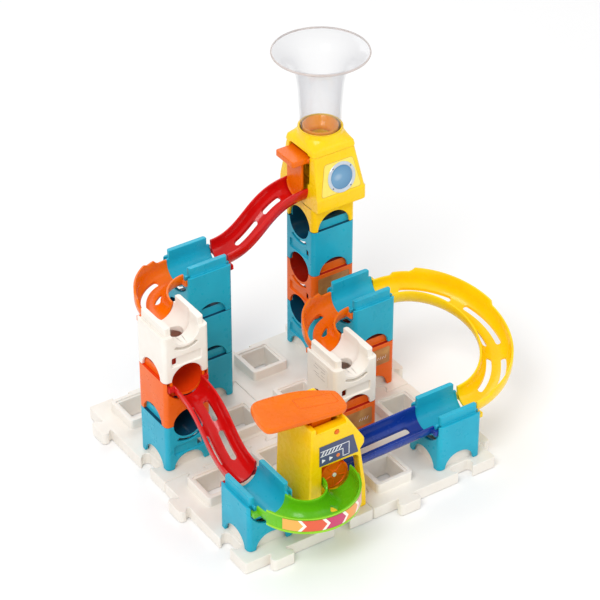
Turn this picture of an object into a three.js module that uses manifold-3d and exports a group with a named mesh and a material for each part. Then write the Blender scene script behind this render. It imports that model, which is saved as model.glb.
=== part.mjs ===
// A marble run: towers of stacked blocks on four jigsaw base tiles, joined by open tracks,
// with a launcher house and funnel on the tallest tower and a press lever at the front.
// Millimetres, +Z up. Grid cell (0, 0) is the front corner, and Z = 0 is the tiles' top face
// until the whole run is moved so that its origin is the middle of its own footprint.
import * as THREE from 'three';
import { mergeVertices } from 'three/addons/utils/BufferGeometryUtils.js';
import Module from 'manifold-3d';

const wasm = await Module();
wasm.setup();

const ROUND = 12;               // sides of a round trough, bowl or bore

// Grid and blocks
const CELL = 63.5;              // pitch of the base grid
const BLOCK = 44;               // side of a block
const LEVEL = 45.7;             // height of a block, from its feet to its ledge
const GAP = 0.3;                // clearance between pieces that touch
const CORNER = 4;               // corner radius of a block
const WALL = 2.7;               // wall of a block
const LEDGE = 3;                // width of the ledge round a block's top
const LIP = 8;                  // height of the two bars above the ledge
const TROUGH_R = 14.5;          // radius of a trough or scoop, centred at ledge height
const DIP_R = 13;               // radius of the dip in a drop block's closed end
const ARCH_HALF = 14.8;         // half the width of the arch in each side
const ARCH_HEIGHT = 13.5;
const DROP_R = 9;               // hole that lets a marble fall through a drop block
const GROOVE_IN = 16.8;         // hook groove round the open end of a trough
const GROOVE_OUT = 21.5;
const GROOVE_DEPTH = 3.8;
const HALF = BLOCK / 2;

// Base tiles
const TILE = 2 * CELL;
const TILE_THICK = 11;
const TILE_SHELL = 2.5;
const TAB_WIDTH = 21.5;
const TAB_REACH = 10;
const TAB_NECK = 15;
const BOSS = 36;
const BOSS_HEIGHT = 9.5;
const WINDOW = 25;
const MARGIN = (CELL - BLOCK) / 2;

// Tracks
const TRACK_IN = 12.6;          // inner radius of a track's round floor
const TRACK_OUT = 14.6;
const TRACK_RIM = 2.4;          // height of the rims above the section's centre
const RAIL_OUT = 14.8;          // outer face of a raised stretch of wall
const SLOT_WIDTH = 5;
const SENDING = -5.2;           // centre of a track, from the ledge it leaves
const CATCHING = 3;             // and from the ledge it arrives at

// Launcher house on the tallest tower
const HOUSE_FOOT = 3 * LEVEL;
const FLARE_HALF = 28;
const GATE_PIVOT_X = -19.5;       // from the tower's centre line
const GATE_PIVOT_Z = 207.4;
const GATE_PIN_R = 1.5;
const COLLAR_FLOOR = 219.2;
const SPIGOT_R = 17.6;
const CUP_R = 15.7;
const CUP_TOP = 230.4;
const FUNNEL_TOP = 301.4;
const FUNNEL_R = 42.7;

// Lever tower at the front
const LEVER_PIVOT_X = 84;
const LEVER_PIVOT_Z = 90.5;
const LEVER_TILT = THREE.MathUtils.degToRad(8);
const LEVER_PIN_R = 2;
const KICKER_Z = 44.5;
const KICKER_R = 13.6;
const FACE_Y = -2.3;            // front face of the lever tower

const CYAN = { color: 0x35b5d6, roughness: 0.35, metalness: 0 };
const WHITE = { color: 0xf4efe8, roughness: 0.4, metalness: 0 };
const ORANGE = { color: 0xf47b30, roughness: 0.35, metalness: 0 };
const RED = { color: 0xd81e1a, roughness: 0.3, metalness: 0 };
const YELLOW = { color: 0xfdd421, roughness: 0.35, metalness: 0 };
const GREEN = { color: 0x6cc024, roughness: 0.35, metalness: 0 };
const BLUE = { color: 0x123c9b, roughness: 0.3, metalness: 0 };
const CLEAR = { color: 0xe8e8f0, roughness: 0.1, metalness: 0, transparent: true, opacity: 0.35 };
const PAPER = { color: 0xb9803f, roughness: 0.6, metalness: 0 };

const run = new THREE.Group();

// ---- Solids ----

function solid(geometry) {
  const bare = geometry.clone();
  bare.deleteAttribute('normal');
  bare.deleteAttribute('uv');
  const merged = mergeVertices(bare, 1e-4);
  return new wasm.Manifold(new wasm.Mesh({
    numProp: 3,
    vertProperties: Float32Array.from(merged.attributes.position.array),
    triVerts: Uint32Array.from(merged.index.array),
  }));
}

function geometryOf(body) {
  const { vertProperties, triVerts } = body.getMesh();
  const geometry = new THREE.BufferGeometry();
  geometry.setAttribute('position', new THREE.BufferAttribute(vertProperties, 3));
  geometry.setIndex(new THREE.BufferAttribute(triVerts, 1));
  return geometry;
}

function piece(name, body, look) {
  const geometry = geometryOf(body);
  geometry.computeVertexNormals();
  const mesh = new THREE.Mesh(geometry, new THREE.MeshStandardMaterial(look));
  mesh.name = name;
  return mesh;
}

function roundedRect(width, depth, radius, x = 0, y = 0) {
  const left = x - width / 2 + radius;
  const right = x + width / 2 - radius;
  const low = y - depth / 2 + radius;
  const high = y + depth / 2 - radius;
  const shape = new THREE.Shape();
  shape.absarc(right, low, radius, -Math.PI / 2, 0, false);
  shape.absarc(right, high, radius, 0, Math.PI / 2, false);
  shape.absarc(left, high, radius, Math.PI / 2, Math.PI, false);
  shape.absarc(left, low, radius, Math.PI, 1.5 * Math.PI, false);
  return shape;
}

function prism(shape, low, high, curveSegments = 2) {
  const options = { depth: high - low, bevelEnabled: false, curveSegments };
  return new THREE.ExtrudeGeometry(shape, options).translate(0, 0, low);
}

function box(x0, x1, y0, y1, z0, z1) {
  return new THREE.BoxGeometry(x1 - x0, y1 - y0, z1 - z0)
    .translate((x0 + x1) / 2, (y0 + y1) / 2, (z0 + z1) / 2);
}

function rodX(radius, x0, x1, z, sides = ROUND) {
  return new THREE.CylinderGeometry(radius, radius, x1 - x0, sides)
    .rotateZ(Math.PI / 2).translate((x0 + x1) / 2, 0, z);
}

function rodY(radius, x, z, y0, y1, sides = 12) {
  return new THREE.CylinderGeometry(radius, radius, y1 - y0, sides)
    .translate(x, (y0 + y1) / 2, z);
}

function rodZ(radius, z0, z1, sides = ROUND) {
  return new THREE.CylinderGeometry(radius, radius, z1 - z0, sides)
    .rotateX(Math.PI / 2).translate(0, 0, (z0 + z1) / 2);
}

function ball(radius, z) {
  return new THREE.SphereGeometry(radius, ROUND, ROUND / 2).rotateX(Math.PI / 2)
    .translate(0, 0, z);
}

// A stack of rings: each is [height, half width, roundness], from square 0 to circle 1
function loft(rings, cornerShare) {
  const outline = roundedRect(2, 2, cornerShare);
  const geometry = new THREE.ExtrudeGeometry(outline, {
    depth: 1, steps: rings.length - 1, bevelEnabled: false, curveSegments: 2,
  });
  const position = geometry.attributes.position;
  for (let i = 0; i < position.count; i++) {
    const [height, half, roundness] = rings[Math.round(position.getZ(i) * (rings.length - 1))];
    const x = position.getX(i);
    const y = position.getY(i);
    const scale = half * THREE.MathUtils.lerp(1, 1 / Math.hypot(x, y), roundness);
    position.setXYZ(i, x * scale, y * scale, height);
  }
  return geometry;
}

// ---- Blocks: feet on z = 0, centred on Z, the trough's open end towards +X ----

function archTunnels(half, height) {
  const arch = new THREE.Shape();
  arch.absellipse(0, 0, half, height, 0, Math.PI, false);
  arch.lineTo(-half, -1);
  arch.lineTo(half, -1);
  const alongY = prism(arch, -HALF - 9, HALF + 9, 6).rotateX(Math.PI / 2);
  const alongX = alongY.clone().rotateZ(Math.PI / 2);
  return solid(alongX).add(solid(alongY));
}

// A ring-shaped slot round a trough's open end, which the hooks of a track drop into
function hookGroove() {
  const clip = solid(box(HALF - GROOVE_DEPTH, HALF + 1, -19.5, 19.5, LEVEL - 25, LEVEL));
  return solid(rodX(GROOVE_OUT, HALF - GROOVE_DEPTH, HALF + 1, LEVEL))
    .subtract(solid(rodX(GROOVE_IN, HALF - 6, HALF + 2, LEVEL)))
    .intersect(clip);
}

function shell() {
  const inside = BLOCK - 2 * WALL;
  const top = BLOCK - 2 * LEDGE;
  const ceiling = LEVEL - TROUGH_R - 3;
  return solid(prism(roundedRect(BLOCK, BLOCK, CORNER), GAP, LEVEL))
    .add(solid(prism(roundedRect(top, top, 2), LEVEL - 1, LEVEL + LIP, 1)))
    .subtract(solid(box(-inside / 2, inside / 2, -inside / 2, inside / 2, -1, ceiling)))
    .subtract(archTunnels(ARCH_HALF, ARCH_HEIGHT));
}

// A trough along X from one place to the open end
function trough(from) {
  const above = LEVEL + LIP + 1;
  return solid(rodX(TROUGH_R, from, HALF + 1, LEVEL))
    .add(solid(box(from, HALF + 1, -TROUGH_R, TROUGH_R, LEVEL, above)));
}

function channelBlock() {
  const otherEnd = solid(geometryOf(hookGroove()).rotateZ(Math.PI));
  return shell().subtract(trough(-HALF - 1)).subtract(hookGroove()).subtract(otherEnd);
}

function scoopBlock() {
  const well = rodZ(TROUGH_R, LEVEL, LEVEL + LIP + 1);
  return shell().subtract(trough(0)).subtract(solid(ball(TROUGH_R, LEVEL)))
    .subtract(solid(well));
}

// A scoop that a track leaves from
function exitBlock() {
  return scoopBlock().subtract(hookGroove());
}

function dropBlock() {
  const dip = solid(rodX(DIP_R, -HALF - 1, 0, LEVEL + 1.5))
    .add(solid(box(-HALF - 1, 0, -DIP_R, DIP_R, LEVEL + 1.5, LEVEL + LIP + 1)));
  return exitBlock().subtract(dip).subtract(solid(rodZ(DROP_R, LEVEL / 2, LEVEL)));
}

const MAKERS = { channel: channelBlock, scoop: scoopBlock, exit: exitBlock, drop: dropBlock };

// name, cell, level, kind, direction of the open end in degrees, colour
const BLOCKS = [
  ['front_channel_block', 0, 0, 0, 'channel', 90, CYAN],
  ['right_channel_block', 3, 0, 0, 'channel', 0, CYAN],
  ['left_tower_foot', 0, 2, 0, 'scoop', -90, CYAN],
  ['left_tower_exit_block', 0, 2, 1, 'exit', -90, ORANGE],
  ['left_tower_drop_block', 0, 2, 2, 'drop', 90, WHITE],
  ['back_tower_foot', 1, 3, 0, 'scoop', 180, CYAN],
  ['back_tower_middle', 1, 3, 1, 'scoop', 180, CYAN],
  ['back_tower_channel_block', 1, 3, 2, 'channel', 0, CYAN],
  ['centre_tower_foot', 2, 1, 0, 'scoop', 180, ORANGE],
  ['centre_tower_drop_block', 2, 1, 1, 'drop', 90, WHITE],
  ['right_tower_foot', 3, 2, 0, 'scoop', 180, ORANGE],
  ['right_tower_channel_block', 3, 2, 1, 'channel', 0, CYAN],
  ['launch_tower_foot', 3, 3, 0, 'scoop', 180, CYAN],
  ['launch_tower_middle', 3, 3, 1, 'scoop', 180, ORANGE],
  ['launch_tower_top', 3, 3, 2, 'scoop', 180, CYAN],
];

function centre(cell) {
  return cell * CELL + HALF;
}

for (const [name, i, j, level, kind, direction, look] of BLOCKS) {
  const block = piece(name, MAKERS[kind](), look);
  block.position.set(centre(i), centre(j), level * LEVEL);
  block.rotation.z = THREE.MathUtils.degToRad(direction);
  run.add(block);
}

// ---- Base tiles: corner at the origin, two cells each way ----

// A tab points towards -Y from its root at (x, 0)
function tabShape(width, neck, reach) {
  const half = width / 2;
  const radius = 3.5;
  const shape = new THREE.Shape();
  shape.moveTo(neck / 2, 1);
  shape.lineTo(-neck / 2, 1);
  shape.lineTo(-neck / 2, -2);
  shape.lineTo(-half, -4.5);
  shape.absarc(-half + radius, -reach + radius, radius, Math.PI, 1.5 * Math.PI, false);
  shape.absarc(half - radius, -reach + radius, radius, 1.5 * Math.PI, 2 * Math.PI, false);
  shape.lineTo(half, -4.5);
  shape.lineTo(neck / 2, -2);
  return shape;
}

// Each tile side: turn about the tile's centre, and whether its first cell carries the tab
const SIDES = [[0, true], [90, true], [180, true], [270, true]];

function atSide(geometry, cell, turn) {
  return geometry.translate((cell - 0.5) * CELL, -TILE / 2, 0)
    .rotateZ(THREE.MathUtils.degToRad(turn));
}

function tileBody() {
  const side = TILE - GAP;
  const inner = side - 2 * TILE_SHELL;
  const reach = inner / 2;
  let body = solid(prism(roundedRect(side, side, 2), -TILE_THICK, 0, 1));
  let hollow = solid(box(-reach, reach, -reach, reach, -TILE_THICK - 1, -TILE_SHELL));
  let windows = null;
  for (const x of [-CELL / 2, CELL / 2]) {
    for (const y of [-CELL / 2, CELL / 2]) {
      const collar = WINDOW / 2 + TILE_SHELL;
      body = body.add(solid(prism(roundedRect(BOSS, BOSS, 3, x, y), -1, BOSS_HEIGHT, 1)));
      hollow = hollow.subtract(solid(box(x - collar, x + collar, y - collar, y + collar, -20, 0)));
      const w = WINDOW / 2;
      const window = solid(box(x - w, x + w, y - w, y + w, -20, 20));
      windows = windows ? windows.add(window) : window;
    }
  }
  let sockets = null;
  for (const [turn] of SIDES) {
    const tab = tabShape(TAB_WIDTH, TAB_NECK, TAB_REACH);
    body = body.add(solid(atSide(prism(tab, -TILE_THICK, 0, 1), 0, turn)));
    const mouth = tabShape(TAB_WIDTH + 2 * GAP, TAB_NECK + 2 * GAP, TAB_REACH + GAP);
    const guard = box(-TAB_WIDTH / 2 - 3, TAB_WIDTH / 2 + 3, -5, TAB_REACH + 3, -20, 0);
    hollow = hollow.subtract(solid(atSide(guard, 1, turn)));
    const socket = solid(atSide(prism(mouth, -20, 20, 1).rotateZ(Math.PI), 1, turn));
    sockets = sockets ? sockets.add(socket) : socket;
  }
  return body.subtract(hollow).subtract(sockets).subtract(windows);
}

const TILES = [['base_tile_front', 0, 0], ['base_tile_right', 1, 0],
  ['base_tile_left', 0, 1], ['base_tile_back', 1, 1]];
for (const [name, a, b] of TILES) {
  const tile = piece(name, tileBody(), WHITE);
  tile.position.set((a + 0.5) * TILE - MARGIN, (b + 0.5) * TILE - MARGIN, 0);
  run.add(tile);
}

// ---- Tracks ----

// A level turn that eases from one height to another
class EasedArc extends THREE.Curve {
  constructor(x, y, radius, start, sweep, from, to) {
    super();
    Object.assign(this, { x, y, radius, start, sweep, from, to });
  }

  getPoint(t, target = new THREE.Vector3()) {
    const angle = this.start + t * this.sweep;
    const height = THREE.MathUtils.lerp(this.from, this.to, THREE.MathUtils.smoothstep(t, 0, 1));
    const x = this.x + this.radius * Math.cos(angle);
    const y = this.y + this.radius * Math.sin(angle);
    return target.set(x, y, height);
  }
}

// Bends a geometry that was drawn along +Z onto a path: X goes to the left of travel, Y up
function carry(geometry, path) {
  const length = path.getLength();
  const position = geometry.attributes.position;
  const vertex = new THREE.Vector3();
  const ahead = new THREE.Vector3();
  const spot = new THREE.Vector3();
  for (let i = 0; i < position.count; i++) {
    vertex.fromBufferAttribute(position, i);
    const travel = THREE.MathUtils.clamp(vertex.z, 0, length);
    path.getPointAt(travel / length, spot);
    path.getTangentAt(travel / length, ahead);
    const left = new THREE.Vector3(0, 0, 1).cross(ahead).normalize();
    const over = new THREE.Vector3().crossVectors(ahead, left);
    spot.addScaledVector(ahead, vertex.z - travel);
    spot.addScaledVector(left, vertex.x).addScaledVector(over, vertex.y);
    position.setXYZ(i, spot.x, spot.y, spot.z);
  }
  return solid(geometry);
}

function swept(shape, path, from, to, steps) {
  const geometry = new THREE.ExtrudeGeometry(shape, {
    depth: to - from, steps, bevelEnabled: false, curveSegments: ROUND / 2,
  });
  return carry(geometry.translate(0, 0, from), path);
}

// A round-bottomed section whose straight sides end at a height above its centre
function sectionShape(radius, height) {
  const shape = new THREE.Shape();
  shape.moveTo(radius, height);
  shape.lineTo(-radius, height);
  shape.absarc(0, 0, radius, Math.PI, 2 * Math.PI, false);
  return shape;
}

function rectangle(x0, x1, y0, y1) {
  const shape = new THREE.Shape();
  shape.moveTo(x0, y0);
  shape.lineTo(x1, y0);
  shape.lineTo(x1, y1);
  shape.lineTo(x0, y1);
  return shape;
}

// A slot through the floor, from one distance of travel to another
function slot(path, across, from, to, parts, width = SLOT_WIDTH) {
  const half = width / 2;
  const low = from + half;
  const high = to - half;
  const shape = new THREE.Shape();
  shape.moveTo(across + half, low);
  for (let k = 1; k < parts; k++) {
    shape.lineTo(across + half, THREE.MathUtils.lerp(low, high, k / parts));
  }
  shape.absarc(across, high, half, 0, Math.PI, false);
  for (let k = 1; k < parts; k++) {
    shape.lineTo(across - half, THREE.MathUtils.lerp(high, low, k / parts));
  }
  shape.absarc(across, low, half, Math.PI, 2 * Math.PI, false);
  return carry(prism(shape, 3, TRACK_OUT + 3, 1).rotateX(Math.PI / 2), path);
}

// The two prongs that hook a track's end to a block; drop is from the track's centre to the ledge
function hooks(path, atStart, ledgeAbove) {
  const end = atStart ? 0 : path.getLength();
  const inward = atStart ? 1 : -1;
  const span = (a, b) => [Math.min(end + inward * a, end + inward * b), Math.abs(b - a)];
  let both = null;
  for (const side of [-1, 1]) {
    const bars = [[10, 19.1, 0, 2.2], [17.2, 19.1, -3.2, 0.5]];
    for (const [near, far, a, b] of bars) {
      const [from, depth] = span(a, b);
      const x0 = Math.min(side * near, side * far);
      const shape = rectangle(x0, x0 + far - near, ledgeAbove - 8, ledgeAbove - 3.5);
      const geometry = new THREE.ExtrudeGeometry(shape, { depth, bevelEnabled: false });
      const bar = carry(geometry.translate(0, 0, from), path);
      both = both ? both.add(bar) : bar;
    }
  }
  return both;
}

// Rails are raised stretches of wall: side, first and last step, lowest and highest point
function track(name, path, look, { steps, rim = TRACK_RIM, rails = [], slots = [], ends }) {
  const length = path.getLength();
  const step = length / steps;
  let body = swept(sectionShape(TRACK_OUT, rim), path, 0, length, steps);
  for (const [side, from, to, low, high] of rails) {
    const x0 = Math.min(side * (TRACK_IN - 0.4), side * RAIL_OUT);
    const shape = rectangle(x0, x0 + RAIL_OUT - TRACK_IN + 0.4, low, high);
    body = body.add(swept(shape, path, from * step, to * step, to - from));
  }
  for (const [atStart, ledgeAbove] of ends) {
    body = body.add(hooks(path, atStart, ledgeAbove));
  }
  body = body.subtract(swept(sectionShape(TRACK_IN, 20), path, -step, length + step, steps + 2));
  for (const [across, from, to, parts, width] of slots) {
    body = body.subtract(slot(path, across, from * length, to * length, parts, width));
  }
  run.add(piece(name, body, look));
}

// A slide drops one level between the faces of two blocks that have one empty cell between them
function slide(name, start, end, ends) {
  const along = end.clone().sub(start).setZ(0);
  const path = new THREE.CubicBezierCurve3(
    start,
    start.clone().addScaledVector(along, 0.55),
    end.clone().addScaledVector(along, -0.42),
    end,
  );
  const rows = [];
  for (const across of [-7.5, 7.5]) {
    rows.push([across, 0.22, 0.45, 2, SLOT_WIDTH], [across, 0.57, 0.8, 2, SLOT_WIDTH]);
  }
  track(name, path, RED, { steps: 8, slots: rows, ends });
}

slide(
  'upper_red_slide',
  new THREE.Vector3(centre(3) - HALF - GAP, centre(3), 4 * LEVEL + SENDING),
  new THREE.Vector3(centre(1) + HALF + GAP, centre(3), 3 * LEVEL + CATCHING),
  [[false, -CATCHING]],
);
slide(
  'lower_red_slide',
  new THREE.Vector3(centre(0), centre(2) - HALF - GAP, 2 * LEVEL + SENDING),
  new THREE.Vector3(centre(0), centre(0) + HALF + GAP, LEVEL + CATCHING),
  [[true, -SENDING], [false, -CATCHING]],
);

// A quarter turn joins the -X face of one block to the +Y face of the block one cell nearer
function quarterTurn(name, i, j, level) {
  const faceX = centre(i) - HALF - GAP;
  const faceY = centre(j - 1) + HALF + GAP;
  const radius = CELL - HALF - GAP;
  const high = level * LEVEL - 1;
  const low = level * LEVEL - 2.5;
  const path = new EasedArc(faceX, faceY, radius, Math.PI / 2, Math.PI / 2, high, low);
  track(name, path, ORANGE, {
    steps: 7,
    rails: [[-1, 1, 6, 0, 7], [-1, 2, 5, 6, 10]],
    slots: [[-7.5, 0.22, 0.78, 4, SLOT_WIDTH], [6, 0.36, 0.64, 2, 4]],
    ends: [[true, 1], [false, 2.5]],
  });
}

quarterTurn('back_orange_turn', 1, 3, 3);
quarterTurn('right_orange_turn', 3, 2, 2);

const bend = new EasedArc(centre(3) + HALF + GAP, centre(1), CELL, Math.PI / 2, -Math.PI,
  2 * LEVEL + SENDING, LEVEL + CATCHING);
const bendSlots = [];
for (const across of [-6.5, 7]) {
  bendSlots.push([across, 0.1, 0.32, 2, SLOT_WIDTH], [across, 0.38, 0.61, 2, SLOT_WIDTH],
    [across, 0.69, 0.88, 2, SLOT_WIDTH]);
}
track('yellow_half_turn', bend, YELLOW, {
  steps: 13,
  rails: [[1, 1, 12, 0, 5.5], [1, 2, 6, 5, 9.5]],
  slots: bendSlots,
  ends: [[true, -SENDING], [false, -CATCHING]],
});

const BLUE_END_X = 94;
const blueRun = new THREE.LineCurve3(
  new THREE.Vector3(centre(3) - HALF - GAP, centre(0), LEVEL - 1.4),
  new THREE.Vector3(BLUE_END_X, centre(0), LEVEL - 3.4),
);
track('blue_straight_track', blueRun, BLUE, {
  steps: 1,
  rim: 4.5,
  slots: [[7, 0.12, 0.72, 1, 4], [-7, 0.12, 0.72, 1, 4]],
  ends: [[true, 1.4]],
});

const catchPath = new EasedArc((centre(0) + centre(1)) / 2, -GAP, CELL / 2, Math.PI, Math.PI,
  LEVEL - 1.4, LEVEL - 3);
track('green_catch_curve', catchPath, GREEN, {
  steps: 12,
  rails: [[-1, 1, 11, -9, 6.5], [1, 9, 11, 1, 5]],
  slots: [[3, 0.3, 0.35, 2, 2.4], [6, 0.62, 0.71, 2, 4.6]],
  ends: [[true, 1.4]],
});

// ---- Launcher house, gate and funnel: local X and Y from the launch tower's centre line ----

const launcher = new THREE.Group();
launcher.position.set(centre(3), centre(3), 0);
run.add(launcher);

function houseBody() {
  const inside = BLOCK - 2 * WALL;
  const foot = solid(prism(roundedRect(BLOCK, BLOCK, CORNER), HOUSE_FOOT + GAP, 175));
  const body = solid(loft([
    [161, FLARE_HALF, 0],
    [177, FLARE_HALF - 0.5, 0],
    [180, FLARE_HALF - 1.8, 0],
    [213, 21.2, 0],
    [213.2, 22.2, 0],
    [218.5, 21.2, 0],
    [218.7, 20, 0.1],
    [224, 19.8, 0.6],
    [229.5, 19.8, 1],
  ], 0.3));
  const chamber = 4 * LEVEL - 1.2;
  const chamberR = 13.3;
  const arches = geometryOf(archTunnels(16.5, 16.5)).translate(0, 0, HOUSE_FOOT);
  return foot.add(body)
    .subtract(solid(prism(roundedRect(inside, inside, 1.5), HOUSE_FOOT - 1, 161)))
    .subtract(solid(arches))
    .subtract(solid(ball(chamberR, chamber)))
    .subtract(solid(rodX(chamberR, -HALF - 8, 0, chamber)))
    .subtract(solid(box(-HALF - 8, 0, -chamberR, chamberR, chamber, 214.2)))
    .subtract(solid(rodZ(chamberR, chamber, 214.2)))
    .subtract(solid(rodZ(10, 214, 220)))
    .subtract(solid(rodZ(SPIGOT_R + GAP, COLLAR_FLOOR, 231, 24)))
    .subtract(solid(box(-32, -HALF - 0.3, -32, 32, 150, 212)))
    .subtract(solid(box(-32, -HALF, -15.8, 15.8, 150, 185)))
    .subtract(solid(box(-32, -13, -15.8, 15.8, 184, 213)))
    .subtract(solid(rodY(GATE_PIN_R + GAP, GATE_PIVOT_X, GATE_PIVOT_Z, -18.8, 18.8)));
}

launcher.add(piece('launcher_house', houseBody(), YELLOW));

const gatePin = new THREE.Mesh(
  rodY(GATE_PIN_R, 0, 0, -18.5, 18.5),
  new THREE.MeshStandardMaterial({ color: 0xc0c2c6, roughness: 0.3, metalness: 1 }),
);
gatePin.name = 'gate_pin';
gatePin.position.set(GATE_PIVOT_X, 0, GATE_PIVOT_Z);
launcher.add(gatePin);

// The finger pad, and the tongue that closes the head of the upper slide
function gateBody() {
  const tongue = new THREE.Shape();
  const half = 11.3;
  const bottom = 4 * LEVEL + SENDING + 1 - GATE_PIVOT_Z;
  tongue.moveTo(half, 2);
  tongue.lineTo(-half, 2);
  tongue.absarc(0, bottom, half, Math.PI, 2 * Math.PI, false);
  const plate = prism(tongue, 0, 2.6, 12).rotateX(Math.PI / 2).rotateZ(Math.PI / 2)
    .translate(-7.7, 0, 0);
  const pad = prism(roundedRect(18, 27.6, 2, -9, 0), -0.5, 3);
  return solid(rodY(3, 0, 0, -15.2, 15.2))
    .add(solid(pad))
    .add(solid(plate))
    .subtract(solid(rodY(GATE_PIN_R + GAP, 0, 0, -16, 16)));
}

const gate = piece('launch_gate', gateBody(), ORANGE);
gate.position.copy(gatePin.position);
launcher.add(gate);

function lathe(points, segments = 28) {
  return new THREE.LatheGeometry(points.map(([r, z]) => new THREE.Vector2(r, z)), segments)
    .rotateX(Math.PI / 2);
}

// Profiles run up the outside and back down the inside
const FUNNEL_WALL = 1.5;
const BELL = [[SPIGOT_R, COLLAR_FLOOR + GAP], [SPIGOT_R, 231.5], [19.2, 262], [20.6, 275],
  [23.6, 285], [29, 293], [35.5, 298]];
const bellInside = BELL.map(([r, z]) => [r - FUNNEL_WALL, z]).reverse();
bellInside[0] = [35.5 - 1.0, 298 + 1.4];
const funnelOutline = [...BELL, [FUNNEL_R - 1.2, 299.2], [FUNNEL_R, 300.2], [FUNNEL_R, 301.4],
  [FUNNEL_R - 1, FUNNEL_TOP + 0.8], [FUNNEL_R - 2.2, FUNNEL_TOP], ...bellInside, BELL[0]];
launcher.add(piece('funnel', solid(lathe(funnelOutline, 20)), CLEAR));

const cupOutline = [[CUP_R, COLLAR_FLOOR + GAP], [CUP_R, CUP_TOP], [CUP_R - 1.4, CUP_TOP],
  [DROP_R + 0.5, 223], [DROP_R + 0.5, COLLAR_FLOOR + GAP], [CUP_R, COLLAR_FLOOR + GAP]];
launcher.add(piece('funnel_cup', solid(lathe(cupOutline, 16)), ORANGE));

// ---- Lever tower: front face towards -Y ----

function leverTowerBody() {
  const outline = new THREE.Shape();
  outline.moveTo(56.5, GAP);
  outline.lineTo(115, GAP);
  outline.lineTo(114, 24);
  outline.lineTo(108, 63);
  outline.lineTo(112, 68);
  outline.lineTo(112, 73);
  outline.lineTo(94, 100.3);
  outline.lineTo(59.5, 100.3);
  const back = 48;
  const front = prism(outline, -back, -FACE_Y).rotateX(Math.PI / 2);
  return solid(front)
    .subtract(solid(box(62, 109, 2.5, 42.5, -1, 16)))
    .subtract(solid(box(69.4, 102.2, FACE_Y - 1, 7, 23, 60)))
    .subtract(solid(box(92, 117, 6.2, 37.8, 23, 60)))
    .subtract(solid(box(62.3, 91, 7, 37, 72, 103)))
    .subtract(solid(rodY(LEVER_PIN_R + GAP, LEVER_PIVOT_X, LEVER_PIVOT_Z, -5, 43)))
    .subtract(solid(rodY(1.8 + GAP, LEVER_PIVOT_X, KICKER_Z, 5, 30)));
}

run.add(piece('lever_tower', leverTowerBody(), YELLOW));

function rod(name, radius, x, z, y0, y1, look) {
  const mesh = new THREE.Mesh(rodY(radius, 0, 0, y0, y1, 14), new THREE.MeshStandardMaterial(look));
  mesh.name = name;
  mesh.position.set(x, 0, z);
  run.add(mesh);
}

rod('lever_pin', LEVER_PIN_R, LEVER_PIVOT_X, LEVER_PIVOT_Z, FACE_Y - 0.5, 42.5, ORANGE);
rod('kicker_axle', 1.8, LEVER_PIVOT_X, KICKER_Z, 0.2, 29.5, WHITE);

// Drawn about the pivot, with the finger end towards -X
function leverBody() {
  const plate = new THREE.Shape();
  plate.moveTo(-58, -20.5);
  plate.lineTo(2, -18.5);
  plate.quadraticCurveTo(17, -17, 17.5, 0);
  plate.quadraticCurveTo(17, 17, 2, 18.5);
  plate.lineTo(-58, 20.5);
  plate.quadraticCurveTo(-65, 20, -65.5, 0);
  plate.quadraticCurveTo(-65, -20, -58, -20.5);
  const underside = 12.1;
  return solid(prism(plate, underside, underside + 5.2, 6))
    .add(solid(box(-18, 1.5, -13, 13, -3, underside + 1)))
    .add(solid(rodY(4.2, 0, 0, -13, 13, 16)))
    .subtract(solid(rodY(LEVER_PIN_R + GAP, 0, 0, -14, 14)));
}

const lever = piece('press_lever', leverBody(), ORANGE);
lever.position.set(LEVER_PIVOT_X, centre(0), LEVER_PIVOT_Z);
lever.rotation.y = LEVER_TILT;
run.add(lever);

// A disc with a striking notch in its rim
function kickerBody() {
  return solid(rodY(KICKER_R, 0, 0, 0.6, 5.6, 20))
    .subtract(solid(box(5, 16, -1, 7, 8.4, 16)))
    .subtract(solid(rodY(1.8 + GAP, 0, 0, 0, 7)));
}

const kicker = piece('kicker_wheel', kickerBody(), ORANGE);
kicker.position.set(LEVER_PIVOT_X, 0, KICKER_Z);
run.add(kicker);

// ---- Stickers: thin plates on flat faces ----

const STICKER = 0.35;
const STUCK = 0.1;

// A sheet lying on a face that looks towards -Y at the given place
function frontSticker(name, shape, x, y, z, look) {
  const mesh = piece(name, solid(prism(shape, 0, STICKER).rotateX(Math.PI / 2)), look);
  mesh.position.set(x, y - STUCK, z);
  run.add(mesh);
}

const label = roundedRect(33, 17, 1.5);
const labelZ = LEVEL - 12.5;
frontSticker('centre_block_sticker', label, centre(2), centre(1) - HALF, labelZ, PAPER);
frontSticker('right_block_sticker', label, centre(3), centre(2) - HALF, labelZ, PAPER);
frontSticker('launch_block_sticker', label, centre(3), centre(3) - HALF, LEVEL + labelZ, PAPER);

const slant = new THREE.Shape();
slant.moveTo(0, 0);
slant.lineTo(36, 0);
slant.lineTo(31, 16);
slant.lineTo(0, 16);
frontSticker('path_sticker', slant, 69.4, FACE_Y, 61.5, { color: 0x4b5379, roughness: 0.5 });

// The porthole sits on the house's sloping front
const porthole = piece(
  'porthole_sticker',
  solid(rodZ(13, 0, 0.6, 24)),
  { color: 0xb9c2cc, roughness: 0.3, metalness: 0.2 },
);
const slope = Math.atan2(FLARE_HALF - 1.8 - 21.2, 33);
porthole.rotation.x = Math.PI / 2 - slope;
porthole.position.set(0.5, -24.1, 195);
launcher.add(porthole);

const artwork = piece(
  'white_block_sticker',
  solid(prism(roundedRect(24, 17, 1.5), 0, STICKER).rotateX(Math.PI / 2).rotateZ(-Math.PI / 2)),
  { color: 0xefe6da, roughness: 0.5 },
);
artwork.position.set(centre(2) - HALF - STUCK, centre(1), LEVEL + labelZ);
run.add(artwork);

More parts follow.
